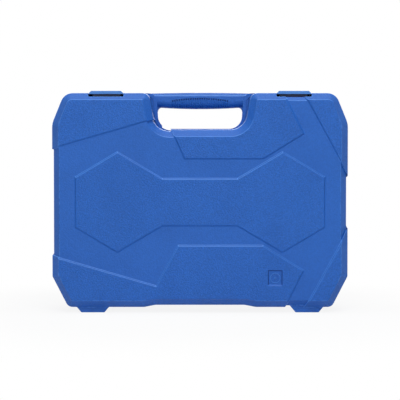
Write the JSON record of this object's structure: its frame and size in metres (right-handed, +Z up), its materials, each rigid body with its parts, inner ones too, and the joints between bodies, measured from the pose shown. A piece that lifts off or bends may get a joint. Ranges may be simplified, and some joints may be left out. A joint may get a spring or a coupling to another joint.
{
  "type": "socket wrench set in carry case",
  "caption": "Moulded two-half carry case with raised panels, carry handle, hinge feet and top latches, holding a tray of sockets, ratchets, extensions and bits.",
  "frame": {"origin": "on the floor under the middle of the closed case's bounding box", "axes": "+X to the viewer's right along the case's width, +Y to the rear, away from the lid, +Z up"},
  "size_m": [0.3846, 0.086, 0.287],
  "materials": {
    "case_blue": "grained moulded blue polyethylene",
    "inner_blue": "smooth moulded blue inner wall",
    "latch_blue": "satin moulded blue",
    "steel_pin": "plain drawn steel",
    "grip_black": "soft matte grip",
    "black_lever": "satin black",
    "dark_steel": "oiled hardened steel",
    "insert_rubber": "soft black rubber",
    "chrome": "satin chrome over chrome-vanadium steel"
  },
  "bodies": {
    "base": {"base_shell": "case_blue", "bit_adapter": "chrome", "bits_cross": "dark_steel", "bits_hex": "dark_steel", "bits_slotted": "dark_steel", "extension_half_long": "chrome", "extension_half_short": "chrome", "extension_quarter": "chrome", "hinge_pin_left": "steel_pin", "hinge_pin_right": "steel_pin", "latch_pin_left": "steel_pin", "latch_pin_right": "steel_pin", "ratchet_half_cover_plate": "chrome", "ratchet_half_cover_screws": "steel_pin", "ratchet_half_grip": "grip_black", "ratchet_half_handle": "chrome", "ratchet_quarter_cover_plate": "chrome", "ratchet_quarter_cover_screws": "steel_pin", "ratchet_quarter_grip": "grip_black", "ratchet_quarter_handle": "chrome", "socket_half_10mm": "chrome", "socket_half_12mm": "chrome", "socket_half_13mm": "chrome", "socket_half_14mm": "chrome", "socket_half_15mm": "chrome", "socket_half_17mm": "chrome", "socket_half_19mm": "chrome", "socket_half_21mm": "chrome", "socket_half_22mm": "chrome", "socket_half_24mm": "chrome", "socket_half_27mm": "chrome", "socket_half_30mm": "chrome", "socket_half_32mm": "chrome", "socket_quarter_10mm": "chrome", "socket_quarter_11mm": "chrome", "socket_quarter_12mm": "chrome", "socket_quarter_13mm": "chrome", "socket_quarter_14mm": "chrome", "socket_quarter_6mm": "chrome", "socket_quarter_7mm": "chrome", "socket_quarter_8mm": "chrome", "socket_quarter_9mm": "chrome", "spark_socket_16mm": "chrome", "spark_socket_21mm": "chrome", "spark_socket_inserts": "insert_rubber", "spinner_grip": "grip_black", "spinner_shaft": "chrome", "tool_tray": "inner_blue"},
    "latch_left": {"latch_left": "latch_blue"},
    "latch_right": {"latch_right": "latch_blue"},
    "lid": {"lid_liner": "inner_blue", "lid_shell": "case_blue"},
    "ratchet_half_drive": {"ratchet_half_drive_gear": "dark_steel"},
    "ratchet_half_pawl": {"ratchet_half_pawl": "dark_steel"},
    "ratchet_half_button": {"ratchet_half_release_button": "black_lever"},
    "ratchet_half_selector": {"ratchet_half_selector_lever": "black_lever"},
    "ratchet_quarter_drive": {"ratchet_quarter_drive_gear": "dark_steel"},
    "ratchet_quarter_pawl": {"ratchet_quarter_pawl": "dark_steel"},
    "ratchet_quarter_button": {"ratchet_quarter_release_button": "black_lever"},
    "ratchet_quarter_selector": {"ratchet_quarter_selector_lever": "black_lever"}
  },
  "joints": [
    {"name": "lid_hinge", "type": "hinge", "parent": "base", "child": "lid", "pos_m": [0, -0.007, 0.0028], "axis": [1, 0, 0], "range_deg": [0, 180]},
    {"name": "latch_left_swing", "type": "hinge", "parent": "base", "child": "latch_left", "pos_m": [-0.1215, 0.006, 0.2832], "axis": [-1, 0, 0], "range_deg": [0, 110]},
    {"name": "latch_right_swing", "type": "hinge", "parent": "base", "child": "latch_right", "pos_m": [0.1215, 0.006, 0.2832], "axis": [-1, 0, 0], "range_deg": [0, 110]},
    {"name": "ratchet_half_drive_spin", "type": "hinge", "parent": "base", "child": "ratchet_half_drive", "pos_m": [-0.146, 0.011, 0.126], "axis": [0, 1, 0], "continuous": true},
    {"name": "ratchet_half_button_press", "type": "slide", "parent": "ratchet_half_drive", "child": "ratchet_half_button", "axis": [0, 1, 0], "range_m": [0, 0.0014], "stiffness_N_per_m": 400, "springref_m": -0.002},
    {"name": "ratchet_half_selector_turn", "type": "hinge", "parent": "base", "child": "ratchet_half_selector", "pos_m": [-0.1255, 0.011, 0.126], "axis": [0, 1, 0], "range_deg": [0, 36]},
    {"name": "ratchet_half_pawl_rock", "type": "hinge", "parent": "base", "child": "ratchet_half_pawl", "pos_m": [-0.1255, 0.011, 0.126], "axis": [0, 1, 0], "range_deg": [0, 12]},
    {"name": "ratchet_quarter_drive_spin", "type": "hinge", "parent": "base", "child": "ratchet_quarter_drive", "pos_m": [-0.156, 0.0175, 0.188], "axis": [0, 1, 0], "continuous": true},
    {"name": "ratchet_quarter_button_press", "type": "slide", "parent": "ratchet_quarter_drive", "child": "ratchet_quarter_button", "axis": [0, 1, 0], "range_m": [0, 0.00084], "stiffness_N_per_m": 400, "springref_m": -0.002},
    {"name": "ratchet_quarter_selector_turn", "type": "hinge", "parent": "base", "child": "ratchet_quarter_selector", "pos_m": [-0.1437, 0.0175, 0.188], "axis": [0, 1, 0], "range_deg": [0, 36]},
    {"name": "ratchet_quarter_pawl_rock", "type": "hinge", "parent": "base", "child": "ratchet_quarter_pawl", "pos_m": [-0.1437, 0.0175, 0.188], "axis": [0, 1, 0], "range_deg": [0, 12]}
  ],
  "couplings": [
    {"joint": "ratchet_half_pawl_rock", "follows": "ratchet_half_selector_turn", "ratio": 0.33333},
    {"joint": "ratchet_quarter_pawl_rock", "follows": "ratchet_quarter_selector_turn", "ratio": 0.33333}
  ]
}
